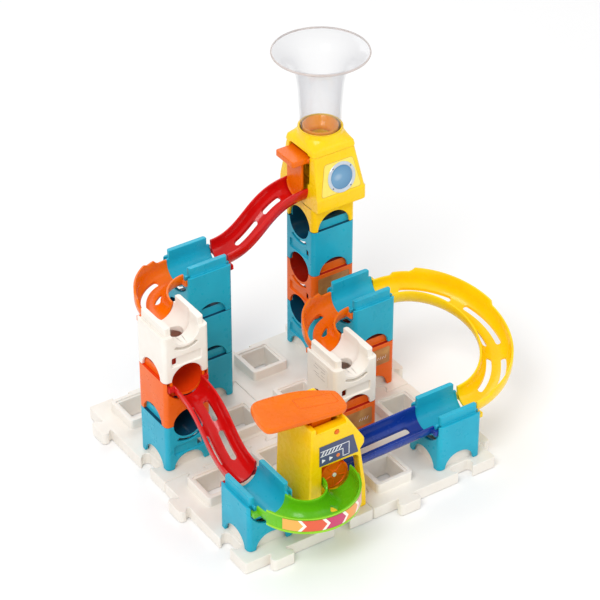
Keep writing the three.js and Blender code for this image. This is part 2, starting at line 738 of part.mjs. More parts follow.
// The arrow band is bent round the outer wall of the catch curve
const bandPath = new EasedArc(catchPath.x, catchPath.y, catchPath.radius + RAIL_OUT + STUCK,
  Math.PI, Math.PI, catchPath.from, catchPath.to);
const bandShape = rectangle(-STICKER, 0, -6, 4.8);
const bandLength = bandPath.getLength();
run.add(piece(
  'arrow_sticker',
  swept(bandShape, bandPath, 3 / 12 * bandLength, 9 / 12 * bandLength, 6),
  { color: 0xf2b347, roughness: 0.5 },
));

// ---- Origin: the middle of the run's footprint, on the surface it stands on ----

const bounds = new THREE.Box3().setFromObject(run);
const middle = bounds.getCenter(new THREE.Vector3());
const origin = new THREE.Group();
run.position.set(-middle.x, -middle.y, -bounds.min.z);
origin.add(run);

export default origin;
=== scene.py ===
"""Looks for the marble run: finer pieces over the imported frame, moulded plastics, camera and light.

Lengths inside the builders are millimetres on the toy's own grid: cell (0, 0) is the front corner
and z = 0 is the top of the base tiles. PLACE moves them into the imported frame, in metres.
"""

import math

import bmesh
import bpy
from mathutils import Matrix, Vector


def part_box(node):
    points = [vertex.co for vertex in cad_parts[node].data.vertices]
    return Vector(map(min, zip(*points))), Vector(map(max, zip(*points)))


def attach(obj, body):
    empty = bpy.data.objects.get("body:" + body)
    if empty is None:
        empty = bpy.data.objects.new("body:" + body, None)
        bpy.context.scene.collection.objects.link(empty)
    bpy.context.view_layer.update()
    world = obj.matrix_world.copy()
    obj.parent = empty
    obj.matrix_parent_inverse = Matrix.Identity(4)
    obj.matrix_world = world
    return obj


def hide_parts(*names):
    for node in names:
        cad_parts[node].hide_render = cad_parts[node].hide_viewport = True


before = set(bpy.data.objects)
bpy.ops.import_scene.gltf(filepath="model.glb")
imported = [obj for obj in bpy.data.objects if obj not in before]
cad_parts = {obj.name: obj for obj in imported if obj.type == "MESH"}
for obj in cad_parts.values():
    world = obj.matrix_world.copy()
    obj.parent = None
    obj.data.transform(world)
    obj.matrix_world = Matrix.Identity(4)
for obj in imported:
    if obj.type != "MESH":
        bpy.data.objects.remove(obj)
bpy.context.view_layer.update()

CELL = 63.5         # pitch of the base grid
BLOCK = 44.0        # side of a block
HALF = BLOCK / 2
LEVEL = 45.7        # height of a block, from its feet to its ledge
GAP = 0.3           # clearance between pieces that touch
WALL = 2.7          # wall of a block
LIP = 8.0           # height of the two bars above the ledge
LEDGE = 3.0         # width of the ledge round a block's top
TROUGH = 14.5       # radius of a trough or scoop, centred at ledge height
TILE = 2 * CELL
TILE_THICK = 11
TILE_SHELL = 2.5
MARGIN = (CELL - BLOCK) / 2
SENDING = -5.2      # centre of a track, from the ledge it leaves
CATCHING = 3        # and from the ledge it arrives at
RIM_UP = 2.4        # height of a track's rims above the section's centre
GATE_X = -19.5      # the gate's pivot, from the launch tower's centre line
GATE_Z = 207.4
GATE_BORE = 1.8
PIVOT_X = 84.0      # the lever's pivot, with the kicker's axle below it
PIVOT_Z = 90.5
KICKER_Z = 44.5
LEVER_BORE = 2.3
AXLE_BORE = 2.1
FRONT_Y = -2.3      # front face of the lever tower
SHEET = 0.3         # thickness of a sticker, and of the marks printed on it
MARK = 0.06
PEEL_DEPTH = 0.012 * 0.001


def centre(cell):
    return cell * CELL + HALF


low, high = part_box("launch_tower_foot")
PLACE = Matrix.Translation((
    (low.x + high.x) / 2 - centre(3) * 0.001,
    (low.y + high.y) / 2 - centre(3) * 0.001,
    TILE_THICK * 0.001,
)) @ Matrix.Scale(0.001, 4)


# ---- Materials ----

def material(name):
    mat = bpy.data.materials.new(name)
    mat.use_nodes = True
    nodes = mat.node_tree.nodes
    return mat, nodes, mat.node_tree.links, nodes["Principled BSDF"]


def speckle(nodes, links, vector, scale, detail=2):
    """The value of a noise texture over the given coordinates."""
    noise = nodes.new("ShaderNodeTexNoise")
    noise.inputs["Scale"].default_value = scale
    noise.inputs["Detail"].default_value = detail
    links.new(vector, noise.inputs["Vector"])
    return noise.outputs["Fac"]


def ramp(nodes, links, value, stops):
    """A colour ramp through (position, colour) stops, driven by a value."""
    tone = nodes.new("ShaderNodeValToRGB")
    elements = tone.color_ramp.elements
    elements.remove(elements[1])
    elements[0].position = stops[0][0]
    elements[0].color = (*stops[0][1], 1)
    for position, colour in stops[1:]:
        elements.new(position).color = (*colour, 1)
    links.new(value, tone.inputs["Fac"])
    return tone


def plastic(name, colour, shade, roughness=0.3, glow=0.0, coat=0.08):
    """Moulded plastic: slow drifts in colour and gloss, fine orange peel, and paler worn edges."""
    mat, nodes, links, bsdf = material(name)
    where = nodes.new("ShaderNodeTexCoord").outputs["Object"]
    drift = speckle(nodes, links, where, 38, 3)
    tone = ramp(nodes, links, drift, [(0.3, shade), (0.66, colour)])
    edges = nodes.new("ShaderNodeNewGeometry")
    worn = nodes.new("ShaderNodeMapRange")
    worn.inputs["From Min"].default_value = 0.53
    worn.inputs["From Max"].default_value = 0.62
    worn.inputs["To Max"].default_value = 0.08
    links.new(edges.outputs["Pointiness"], worn.inputs["Value"])
    mix = nodes.new("ShaderNodeMix")
    mix.data_type = "RGBA"
    links.new(worn.outputs["Result"], mix.inputs["Factor"])
    links.new(tone.outputs["Color"], mix.inputs["A"])
    mix.inputs["B"].default_value = (*[min(1, 0.8 * c + 0.1) for c in colour], 1)
    links.new(mix.outputs["Result"], bsdf.inputs["Base Color"])
    scuff = speckle(nodes, links, where, 160, 5)
    gloss = nodes.new("ShaderNodeMapRange")
    gloss.inputs["From Min"].default_value = 0.3
    gloss.inputs["From Max"].default_value = 0.7
    gloss.inputs["To Min"].default_value = roughness - 0.05
    gloss.inputs["To Max"].default_value = roughness + 0.08
    links.new(scuff, gloss.inputs["Value"])
    links.new(gloss.outputs["Result"], bsdf.inputs["Roughness"])
    peel = speckle(nodes, links, where, 900)
    bump = nodes.new("ShaderNodeBump")
    bump.inputs["Strength"].default_value = 0.35
    bump.inputs["Distance"].default_value = PEEL_DEPTH
    links.new(peel, bump.inputs["Height"])
    links.new(bump.outputs["Normal"], bsdf.inputs["Normal"])
    bsdf.inputs["Specular IOR Level"].default_value = 0.22
    bsdf.inputs["Coat Weight"].default_value = coat
    bsdf.inputs["Coat Roughness"].default_value = 0.12
    bsdf.inputs["Subsurface Weight"].default_value = glow
    bsdf.inputs["Subsurface Radius"].default_value = colour
    bsdf.inputs["Subsurface Scale"].default_value = 0.004
    return mat


def rgb(text):
    """Linear colour from a hex sRGB triple."""
    parts = [int(text[k:k + 2], 16) / 255 for k in (0, 2, 4)]
    return tuple(p / 12.92 if p <= 0.04045 else ((p + 0.055) / 1.055) ** 2.4 for p in parts)


CYAN = plastic("cyan_plastic", rgb("20AFCB"), rgb("1AA3C0"), 0.3, 0.02)
WHITE = plastic("white_plastic", rgb("F3EEE6"), rgb("ECE5DB"), 0.38, 0.1)
ORANGE = plastic("orange_block_plastic", rgb("F26A08"), rgb("E95E04"), 0.3, 0.02)
AMBER = plastic("orange_track_plastic", rgb("F07202"), rgb("E86800"), 0.26, 0.02)
RED = plastic("red_plastic", rgb("D4100F"), rgb("C60B0C"), 0.18, 0.01, 0.3)
YELLOW = plastic("yellow_plastic", rgb("FFD60C"), rgb("FCCB06"), 0.26, 0.02, 0.2)
GREEN = plastic("green_plastic", rgb("6CC414"), rgb("5AB60E"), 0.24, 0.02, 0.2)
BLUE = plastic("blue_plastic", rgb("0A3A9C"), rgb("062C86"), 0.22, 0.01, 0.15)
LIME = plastic("lime_rim_plastic", rgb("9CD92C"), rgb("8CD020"), 0.26, 0.02, 0.2)


def flat(name, colour, roughness=0.45, metallic=0.0):
    """Printed or metal trim with a faint mottle."""
    mat, nodes, links, bsdf = material(name)
    where = nodes.new("ShaderNodeTexCoord").outputs["Object"]
    mottle = speckle(nodes, links, where, 300, 4)
    dark = [c * 0.9 for c in colour]
    light = [min(1, c * 1.06) for c in colour]
    tone = ramp(nodes, links, mottle, [(0, dark), (1, light)])
    links.new(tone.outputs["Color"], bsdf.inputs["Base Color"])
    bsdf.inputs["Roughness"].default_value = roughness
    bsdf.inputs["Metallic"].default_value = metallic
    return mat


STEEL = flat("pin_steel", rgb("C3C6CA"), 0.28, 1.0)
INK = flat("sticker_indigo", rgb("474F74"))
PAPER = flat("sticker_white", rgb("F4F3F6"))
DOT = flat("sticker_orange", rgb("EE7A2E"))
DARK = flat("screw_grey", rgb("5D6470"))
SILVER = flat("porthole_silver", rgb("C9D2DC"), 0.3, 0.25)
PANEL = flat("panel_pale_yellow", rgb("FFE566"), 0.35)
LINE = flat("panel_line", rgb("D9B63A"), 0.4)
PENCIL = flat("sticker_pencil", rgb("9A9088"))


def clear_plastic():
    """Thin clear plastic: nearly nothing face on, a pale haze where the wall is seen edge on."""
    mat, nodes, links, bsdf = material("clear_plastic")
    where = nodes.new("ShaderNodeTexCoord").outputs["Object"]
    mottle = speckle(nodes, links, where, 60)
    haze = nodes.new("ShaderNodeMapRange")
    haze.inputs["To Min"].default_value = 0.03
    haze.inputs["To Max"].default_value = 0.1
    links.new(mottle, haze.inputs["Value"])
    links.new(haze.outputs["Result"], bsdf.inputs["Roughness"])
    weight = nodes.new("ShaderNodeLayerWeight")
    weight.inputs["Blend"].default_value = 0.2
    depth = nodes.new("ShaderNodeMapRange")
    depth.inputs["To Min"].default_value = 0.03
    depth.inputs["To Max"].default_value = 0.55
    links.new(weight.outputs["Facing"], depth.inputs["Value"])
    links.new(depth.outputs["Result"], bsdf.inputs["Alpha"])
    bsdf.inputs["Base Color"].default_value = (*rgb("8E8E9A"), 1)
    bsdf.inputs["Specular IOR Level"].default_value = 0.9
    bsdf.inputs["Coat Weight"].default_value = 1.0
    bsdf.inputs["Coat Roughness"].default_value = 0.04
    return mat


CLEAR = clear_plastic()


def window_glass():
    """Blue printed glass with a painted highlight: a pale patch up and to one side, the blue darker away from
    it.
    """
    mat, nodes, links, bsdf = material("porthole_glass")
    where = nodes.new("ShaderNodeTexCoord")
    spot = nodes.new("ShaderNodeVectorMath")
    spot.operation = "DISTANCE"
    spot.inputs[1].default_value = (0.3, 0.2, 0.75)
    links.new(where.outputs["Generated"], spot.inputs[0])
    # the pale first stop, round the spot, is a painted highlight
    tone = ramp(nodes, links, spot.outputs["Value"],
                [(0.05, rgb("DDE9F2")), (0.36, rgb("5F97BE")), (0.75, rgb("4583B0"))])
    links.new(tone.outputs["Color"], bsdf.inputs["Base Color"])
    bsdf.inputs["Roughness"].default_value = 0.12
    bsdf.inputs["Coat Weight"].default_value = 1.0
    return mat


GLASS = window_glass()


def label_print(name, seed):
    """A brown label with soft blotches."""
    mat, nodes, links, bsdf = material(name)
    where = nodes.new("ShaderNodeTexCoord")
    shift = nodes.new("ShaderNodeMapping")
    shift.inputs["Location"].default_value = (seed, seed * 0.7, seed * 1.3)
    links.new(where.outputs["Object"], shift.inputs["Vector"])
    blotch = speckle(nodes, links, shift.outputs["Vector"], 70, 4)
    tone = ramp(nodes, links, blotch,
                [(0.32, rgb("A4602A")), (0.52, rgb("B87A3A")), (0.7, rgb("CF9C55"))])
    links.new(tone.outputs["Color"], bsdf.inputs["Base Color"])
    bsdf.inputs["Roughness"].default_value = 0.35
    return mat


def arrow_print():
    """Chevrons along U: warm colours parted by white, each pointing along the track."""
    mat, nodes, links, bsdf = material("arrow_print")
    where = nodes.new("ShaderNodeUVMap")
    where.uv_map = "band"
    parts = nodes.new("ShaderNodeSeparateXYZ")
    links.new(where.outputs["UV"], parts.inputs["Vector"])
    off = nodes.new("ShaderNodeMath")
    off.operation = "SUBTRACT"
    off.inputs[1].default_value = 0.5
    links.new(parts.outputs["Y"], off.inputs[0])
    fold = nodes.new("ShaderNodeMath")
    fold.operation = "ABSOLUTE"
    links.new(off.outputs["Value"], fold.inputs[0])
    slant = nodes.new("ShaderNodeMath")
    slant.operation = "MULTIPLY_ADD"
    slant.inputs[1].default_value = 0.1
    links.new(fold.outputs["Value"], slant.inputs[0])
    links.new(parts.outputs["X"], slant.inputs[2])
    stops = [
        (0.0, "EFB04A"), (0.2, "FBF3E6"), (0.235, "E4572C"), (0.44, "FBF3E6"),
        (0.475, "C92A63"), (0.66, "FBF3E6"), (0.695, "F29A2B"), (0.86, "FBF3E6"),
        (0.895, "EDA0A0"),
    ]
    tone = ramp(nodes, links, slant.outputs["Value"], [(at, rgb(colour)) for at, colour in stops])
    tone.color_ramp.interpolation = "CONSTANT"
    links.new(tone.outputs["Color"], bsdf.inputs["Base Color"])
    bsdf.inputs["Roughness"].default_value = 0.3
    bsdf.inputs["Coat Weight"].default_value = 0.4
    return mat


# ---- Solids, as scene objects until they are finished ----

def solid(verts, faces):
    mesh = bpy.data.meshes.new("solid")
    mesh.from_pydata([tuple(v) for v in verts], [], faces)
    obj = bpy.data.objects.new("solid", mesh)
    bpy.context.scene.collection.objects.link(obj)
    return obj


def rings(loops, closed=False):
    """Joins equal loops of points into a skin, capped at both ends unless it closes on itself."""
    count = len(loops[0])
    verts = [p for loop in loops for p in loop]
    faces = []
    for a in range(len(loops) - (0 if closed else 1)):
        b = (a + 1) % len(loops)
        for k in range(count):
            n = (k + 1) % count
            faces.append((a * count + k, a * count + n, b * count + n, b * count + k))
    if not closed:
        last = (len(loops) - 1) * count
        faces.append(tuple(reversed(range(count))))
        faces.append(tuple(last + k for k in range(count)))
    return tidy(solid(verts, faces))


def tidy(obj):
    """Joins doubled corners and turns every face outwards."""
    work = bmesh.new()
    work.from_mesh(obj.data)
    bmesh.ops.remove_doubles(work, verts=work.verts, dist=1e-4)
    bmesh.ops.recalc_face_normals(work, faces=work.faces)
    work.to_mesh(obj.data)
    work.free()
    return obj


def prism(outline, low, high, axis="Z"):
    """An outline of (u, v) points, extruded. Axis Y takes (u, v) as (x, z), axis X as (y, z)."""
    def at(u, v, w):
        return {"Z": (u, v, w), "Y": (u, w, v), "X": (w, u, v)}[axis]
    return rings([[at(u, v, low) for u, v in outline], [at(u, v, high) for u, v in outline]])


def box(x0, x1, y0, y1, z0, z1):
    return prism([(x0, y0), (x1, y0), (x1, y1), (x0, y1)], z0, z1)


def arc(x, y, radius, start, end, parts):
    out = []
    for k in range(parts + 1):
        a = math.radians(start + (end - start) * k / parts)
        out.append((x + radius * math.cos(a), y + radius * math.sin(a)))
    return out


def rounded(width, depth, radius, x=0.0, y=0.0, parts=6):
    left, right = x - width / 2 + radius, x + width / 2 - radius
    down, up = y - depth / 2 + radius, y + depth / 2 - radius
    return (arc(right, down, radius, -90, 0, parts) + arc(right, up, radius, 0, 90, parts)
            + arc(left, up, radius, 90, 180, parts) + arc(left, down, radius, 180, 270, parts))


def disc(radius, x=0.0, y=0.0, parts=48):
    return arc(x, y, radius, 0, 360, parts)[:-1]


def lathe(profile, parts=96):
    """Turns (radius, height) points about Z; a closed profile makes a ring."""
    loops = []
    for k in range(parts):
        a = 2 * math.pi * k / parts
        loops.append([(r * math.cos(a), r * math.sin(a), z) for r, z in profile])
    return rings(loops, closed=True)


def ball(radius, z):
    profile = [(max(0.01, radius * math.sin(math.pi * k / 24)), z - radius * math.cos(math.pi * k / 24))
               for k in range(25)]
    loops = [[(r * math.cos(2 * math.pi * k / 48), r * math.sin(2 * math.pi * k / 48), h)
              for k in range(48)] for r, h in profile]
    return rings(loops)


def moved(obj, matrix):
    obj.data.transform(matrix)
    if matrix.determinant() < 0:
        tidy(obj)
    return obj


def turn_z(degrees):
    return Matrix.Rotation(math.radians(degrees), 4, "Z")


def baked(obj):
    """Applies an object's modifiers to its mesh."""
    graph = bpy.context.evaluated_depsgraph_get()
    mesh = bpy.data.meshes.new_from_object(obj.evaluated_get(graph))
    obj.modifiers.clear()
    obj.data = mesh
    return obj


def soft_corners(obj, width):
    """Rounds a plate's corners before anything is cut from it."""
    mod = obj.modifiers.new("corners", "BEVEL")
    mod.width = width
    mod.segments = 4
    mod.limit_method = "ANGLE"
    mod.angle_limit = math.radians(60)
    return baked(obj)


def cast(mould):
    """Another copy of a mould, linked to the scene."""
    copy = bpy.data.objects.new("copy", mould.data.copy())
    bpy.context.scene.collection.objects.link(copy)
    return copy


def join(base, others, operation):
    for other in others:
        mod = base.modifiers.new("join", "BOOLEAN")
        mod.object = other
        mod.operation = operation
        mod.solver = "EXACT"
    baked(base)
    for other in others:
        bpy.data.objects.remove(other)
    return base


def add(base, *others):
    return join(base, others, "UNION")


def cut(base, *others):
    return join(base, others, "DIFFERENCE")


def both(base, other):
    return join(base, [other], "INTERSECT")


def merged(pieces):
    """One object from several, with no change to their skins."""
    verts, faces, base = [], [], 0
    for obj in pieces:
        verts += [v.co.copy() for v in obj.data.vertices]
        faces += [tuple(base + k for k in f.vertices) for f in obj.data.polygons]
        base = len(verts)
    for obj in pieces:
        bpy.data.objects.remove(obj)
    return solid(verts, faces)


def finish(obj, name, mat, slot, nodes, body="run", bevel=0.4, place=None, sharp=32):
    """Names, places and paints a piece, rounds its edges and hands it to the frame."""
    obj.name = name
    obj.data.name = name
    work = bmesh.new()
    work.from_mesh(obj.data)
    bmesh.ops.dissolve_limit(work, angle_limit=math.radians(0.4), verts=work.verts, edges=work.edges)
    work.to_mesh(obj.data)
    work.free()
    obj.data.transform(PLACE @ (place or Matrix.Identity(4)))
    obj.data.materials.clear()
    obj.data.materials.append(mat)
    if bevel:
        mod = obj.modifiers.new("soft_edges", "BEVEL")
        mod.width = bevel * 0.001
        mod.segments = 2
        mod.limit_method = "ANGLE"
        mod.angle_limit = math.radians(38)
        mod.use_clamp_overlap = False
        mod.miter_outer = "MITER_ARC"
    obj.data.shade_smooth()
    obj.data.set_sharp_from_angle(angle=math.radians(sharp if not bevel else 60))
    if bevel:
        obj.modifiers.new("even_shading", "WEIGHTED_NORMAL").keep_sharp = True
    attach(obj, body)
    if nodes:
        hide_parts(*nodes)
    return obj


# ---- Blocks: feet at z = 0, open end towards +X ----

def arch(half, height):
    points = [(half * math.cos(a), height * math.sin(a))
              for a in (math.pi * k / 28 for k in range(29))]
    return points + [(-half, -1.0), (half, -1.0)]


def block_shell():
    body = prism(rounded(BLOCK, BLOCK, 4.0), GAP, LEVEL)
    top = BLOCK - 2 * LEDGE
    body = add(body, prism(rounded(top, top, 2.2), LEVEL - 1, LEVEL + LIP))
    inside = HALF - WALL
    body = cut(body, box(-inside, inside, -inside, inside, -1, LEVEL - TROUGH - 3))
    body = cut(body, prism(arch(14.8, 13.5), -40, 40, "X"))
    return cut(body, prism(arch(14.8, 13.5), -40, 40, "Y"))


def round_trough(start, end):
    outline = arc(0, LEVEL, TROUGH, 180, 360, 36)
    outline += [(TROUGH, LEVEL + LIP + 1), (-TROUGH, LEVEL + LIP + 1)]
    return prism(outline, start, end, "X")


def scoop():
    """A trough from the open end whose closed end is a quarter of a ball under a round well."""
    top = LEVEL + LIP + 1

    def loop(x, r):
        return [(x, u, v) for u, v in arc(0, LEVEL, r, 180, 360, 36) + [(r, top), (-r, top)]]
    loops = [loop(HALF + 1, TROUGH), loop(0, TROUGH)]
    for k in range(1, 19):
        a = math.pi / 2 * k / 18
        loops.append(loop(-TROUGH * math.sin(a), max(0.02, TROUGH * math.cos(a))))
    return rings(loops)


def crescent(height, end):
    """A thin curved slot under a trough's mouth, on the +X face if end is 1 or the -X face."""
    spread, inner, outer = 36.0, 17.0, 20.0
    outline = arc(0, height, outer, -90 - spread, -90 + spread, 18)
    outline += arc(0, height, inner, -90 + spread * 0.92, -90 - spread * 0.92, 18)
    near, far = sorted((end * (HALF - 4.0), end * (HALF + 1)))
    return prism(outline, near, far, "X")


def hook_groove(end):
    outline = arc(0, LEVEL, 21.4, 180, 360, 36) + arc(0, LEVEL, 16.8, 360, 180, 36)
    near, far = sorted((end * (HALF - 3.8), end * (HALF + 1)))
    ring = prism(outline, near, far, "X")
    x0, x1 = sorted((end * (HALF - 6), end * (HALF + 2)))
    return both(ring, box(x0, x1, -19.5, 19.5, LEVEL - 25, LEVEL + 1))


def face_details(end, height):
    """The shallow panel between a face's corner columns, the small window in it and the crescent."""
    near, far = sorted((end * (HALF - 1.5), end * (HALF + 1)))
    panel = prism(rounded(29, 9.4, 1.2, 0, 19.2, 3), near, far, "X")
    near, far = sorted((end * (HALF - 6), end * (HALF + 1)))
    window = prism(rounded(4.2, 6.2, 0.8, 11.2, 19.6, 3), near, far, "X")
    return [panel, window, crescent(height, end)]


def block(kind):
    body = block_shell()
    if kind == "channel":
        body = cut(body, round_trough(-HALF - 1, HALF + 1), hook_groove(1), hook_groove(-1))
        return body
    body = cut(body, scoop())
    body = cut(body, *face_details(-1, LEVEL + 3 if kind == "drop" else LEVEL))
    if kind == "scoop":
        body = cut(body, *face_details(1, LEVEL))
    else:
        body = cut(body, hook_groove(1))
    if kind == "exit":
        dome = cut(ball(15.9, LEVEL), ball(14.1, LEVEL), box(0, 20, -20, 20, LEVEL - 20, LEVEL + 20),
                   box(-20, 20, -20, 20, LEVEL - 20, LEVEL - 2))
        body = merged([body, dome])
    if kind == "drop":
        dip = arc(0, LEVEL + 1.5, 13, 180, 360, 30) + [(13, LEVEL + LIP + 1), (-13, LEVEL + LIP + 1)]
        body = cut(body, prism(dip, -HALF - 1, -6, "X"), prism(disc(9.0), LEVEL / 2, LEVEL))
    return body


BLOCKS = [
    ("front_channel_block", 0, 0, 0, "channel", 90, CYAN, "cyan"),
    ("right_channel_block", 3, 0, 0, "channel", 0, CYAN, "cyan"),
    ("left_tower_foot", 0, 2, 0, "scoop", -90, CYAN, "cyan"),
    ("left_tower_exit_block", 0, 2, 1, "exit", -90, ORANGE, "orange"),
    ("left_tower_drop_block", 0, 2, 2, "drop", 90, WHITE, "white"),
    ("back_tower_foot", 1, 3, 0, "scoop", 180, CYAN, "cyan"),
    ("back_tower_middle", 1, 3, 1, "scoop", 180, CYAN, "cyan"),
    ("back_tower_channel_block", 1, 3, 2, "channel", 0, CYAN, "cyan"),
    ("centre_tower_foot", 2, 1, 0, "scoop", 180, ORANGE, "orange"),
    ("centre_tower_drop_block", 2, 1, 1, "drop", 90, WHITE, "white"),
    ("right_tower_foot", 3, 2, 0, "scoop", 180, ORANGE, "orange"),
    ("right_tower_channel_block", 3, 2, 1, "channel", 0, CYAN, "cyan"),
    ("launch_tower_foot", 3, 3, 0, "scoop", 180, CYAN, "cyan"),
    ("launch_tower_middle", 3, 3, 1, "scoop", 180, ORANGE, "orange"),
    ("launch_tower_top", 3, 3, 2, "scoop", 180, CYAN, "cyan"),
]

# The wells get painted shade, a colour darker than their block's: dark between stacked blocks, glossy in the
# exit block
SHADED_WELLS = {("scoop", "cyan"): plastic("painted_shade_cyan_plastic", rgb("0E4A66"), rgb("0A3C56"), 0.2),
         ("scoop", "orange"): plastic("painted_shade_orange_plastic", rgb("A81E0C"), rgb("961808"), 0.2),
         ("exit", "orange"): plastic("glossy_painted_shade_orange_plastic", rgb("E8420A"), rgb("DE3806"), 0.12, 0.02, 0.5)}
moulds = {kind: block(kind) for kind in ("channel", "scoop", "exit", "drop")}
for node, i, j, level, kind, direction, mat, slot in BLOCKS:
    copy = cast(moulds[kind])
    spot = Matrix.Translation((centre(i), centre(j), level * LEVEL)) @ turn_z(direction)
    finish(copy, node + ".shown", mat, slot, [node], place=spot, bevel=0 if kind == "exit" else 0.4)
    # faces inside a well take the darker material, which is painted shade
    if kind in ("scoop", "exit"):
        copy.data.materials.append(SHADED_WELLS[kind, slot])
        inside = (PLACE @ spot).inverted()
        for polygon in copy.data.polygons:
            x, y, z = inside @ polygon.center
            in_shaded_well = -HALF + 1 < x < HALF - 1 and math.hypot(y, min(0, z - LEVEL)) < TROUGH + 0.1
            polygon.material_index = 1 if in_shaded_well and z > LEVEL - TROUGH - 0.5 else 0
for mould in moulds.values():
    bpy.data.objects.remove(mould)


# ---- Base tiles ----

def tab_outline(width, neck, reach):
    half, radius = width / 2, 3.5
    points = [(neck / 2, 1), (neck / 2, -1.6), (half - 0.3, -4.2), (half, -4.8)]
    points += arc(half - radius, -reach + radius, radius, 0, -90, 8)
    points += arc(-half + radius, -reach + radius, radius, -90, -180, 8)
    return points + [(-half, -4.8), (-half + 0.3, -4.2), (-neck / 2, -1.6), (-neck / 2, 1)]


def tile():
    side = TILE - GAP
    body = prism(rounded(side, side, 2.0, parts=4), -TILE_THICK, 0)
    reach = side / 2 - TILE_SHELL
    hollow = box(-reach, reach, -reach, reach, -TILE_THICK - 1, -TILE_SHELL)
    windows, bosses, collars, dishes = [], [], [], []
    for x in (-CELL / 2, CELL / 2):
        for y in (-CELL / 2, CELL / 2):
            bosses.append(prism(rounded(36, 36, 3, x, y), -1, 9.5))
            collars.append(prism(rounded(30, 30, 1, x, y, 2), -20, 0))
            windows.append(prism(rounded(25, 25, 1.2, x, y, 4), -20, 20))
            dishes.append(prism(rounded(29, 29, 1.6, x, y, 4), 8.3, 20))
    tabs, sockets, guards = [], [], []
    for turn in (0, 90, 180, 270):
        tab = prism(tab_outline(21.5, 15, 10), -TILE_THICK, 0)
        tabs.append(moved(tab, turn_z(turn) @ Matrix.Translation((-CELL / 2, -TILE / 2, 0))))
        mouth = moved(prism(tab_outline(22.1, 15.6, 10.3), -20, 20), turn_z(180))
        at = turn_z(turn) @ Matrix.Translation((CELL / 2, -TILE / 2, 0))
        sockets.append(moved(mouth, at))
        guards.append(moved(box(-13.75, 13.75, -5, 13, -20, 0), at))
    hollow = cut(hollow, *collars)
    hollow = cut(hollow, *guards)
    body = add(body, *bosses)
    body = add(body, *tabs)
    body = cut(body, hollow)
    body = cut(body, *sockets)
    body = cut(body, *windows)
    return cut(body, *dishes)


tile_mould = tile()
for node, a, b in (("base_tile_front", 0, 0), ("base_tile_right", 1, 0),
                   ("base_tile_left", 0, 1), ("base_tile_back", 1, 1)):
    copy = cast(tile_mould)
    spot = Matrix.Translation(((a + 0.5) * TILE - MARGIN, (b + 0.5) * TILE - MARGIN, 0))
    finish(copy, node + ".shown", WHITE, "white", [node], place=spot, bevel=0.5)
bpy.data.objects.remove(tile_mould)


# ---- Tracks ----

def smooth(t):
    t = min(1.0, max(0.0, t))
    return t * t * (3 - 2 * t)


class Path:
    """A curve with stations by length; each gives a point and the ways ahead, left and up."""

    def __init__(self, point, parts=240):
        self.points = [point(k / parts) for k in range(parts + 1)]
        self.marks = [0.0]
        for a, b in zip(self.points, self.points[1:]):
            self.marks.append(self.marks[-1] + (b - a).length)
        self.length = self.marks[-1]

    def spot(self, s):
        if s <= 0:
            return self.points[0] + (self.points[1] - self.points[0]).normalized() * s
        if s >= self.length:
            way = (self.points[-1] - self.points[-2]).normalized()
            return self.points[-1] + way * (s - self.length)
        lo, hi = 0, len(self.marks) - 1
        while hi - lo > 1:
            mid = (lo + hi) // 2
            lo, hi = (mid, hi) if self.marks[mid] <= s else (lo, mid)
        share = (s - self.marks[lo]) / (self.marks[hi] - self.marks[lo])
        return self.points[lo].lerp(self.points[hi], share)

    def to(self, x, y, s):
        """The place x to the left of the path and y above it, at station s."""
        ahead = (self.spot(s + 0.4) - self.spot(s - 0.4)).normalized()
        left = Vector((0, 0, 1)).cross(ahead).normalized()
        up = ahead.cross(left)
        return self.spot(s) + left * x + up * y


def eased_arc(x, y, radius, start, sweep, high, low):
    def point(t):
        a = math.radians(start + sweep * t)
        z = high + (low - high) * smooth(t)
        return Vector((x + radius * math.cos(a), y + radius * math.sin(a), z))
    return Path(point)


def bezier(a, b, c, d):
    def point(t):
        u = 1 - t
        return a * u ** 3 + b * (3 * u * u * t) + c * (3 * u * t * t) + d * t ** 3
    return Path(point)


IN, OUT = 12.6, 14.6


def section(left, right):
    """A half-round wall with rounded rims at the two heights given."""
    arc_in = arc(0, 0, IN, 0, -180, 30)
    arc_out = arc(0, 0, OUT, -180, 0, 30)
    rim_right = [(-IN, right - 0.7), (-IN - 0.3, right - 0.15), (-IN - 1, right),
                 (-OUT + 0.3, right - 0.15), (-OUT, right - 0.7)]
    rim_left = [(OUT, left - 0.7), (OUT - 0.3, left - 0.15), (IN + 1, left),
                (IN + 0.3, left - 0.15), (IN, left - 0.7)]
    return arc_in + rim_right + arc_out + rim_left


def wall_steps(base, steps):
    """Height of a wall by station, with quick ramps at each (station, new height)."""
    def height(s):
        level = base
        for mark, new in steps:
            level += (new - level) * smooth((s - mark) / 2.2 + 0.5)
        return level
    return height


def sweep(path, left, right):
    spacing = 2.0
    count = int(path.length / spacing)
    stations = [path.length * k / count for k in range(count + 1)]
    return rings([[path.to(x, y, s) for x, y in section(left(s), right(s))] for s in stations])


def slot_cutter(path, across, start, end, width=5.0, bow=0.0, taper=1.0):
    """A round-ended slot through the floor; taper is the start's width over the end's."""
    s0, s1 = start * path.length, end * path.length
    half = width / 2
    outline = []
    count = max(3, int((s1 - s0) / 2))
    for k in range(count + 1):
        outline.append((half * (taper + (1 - taper) * k / count), s0 + half + (s1 - s0 - width) * k / count))
    outline += [(half * math.cos(a), s1 - half + half * math.sin(a))
                for a in (math.pi * k / 10 for k in range(1, 10))]
    for k in range(count, -1, -1):
        outline.append((-half * (taper + (1 - taper) * k / count), s0 + half + (s1 - s0 - width) * k / count))
    outline += [(half * taper * math.cos(a), s0 + half + half * taper * math.sin(a))
                for a in (math.pi + math.pi * k / 10 for k in range(1, 10))]
    middle, reach = (s0 + s1) / 2, (s1 - s0) / 2
    bent = [(across + x + bow * (1 - ((s - middle) / reach) ** 2), s) for x, s in outline]
    return rings([[path.to(x, y, s) for x, s in bent] for y in (-OUT - 4, -3)])


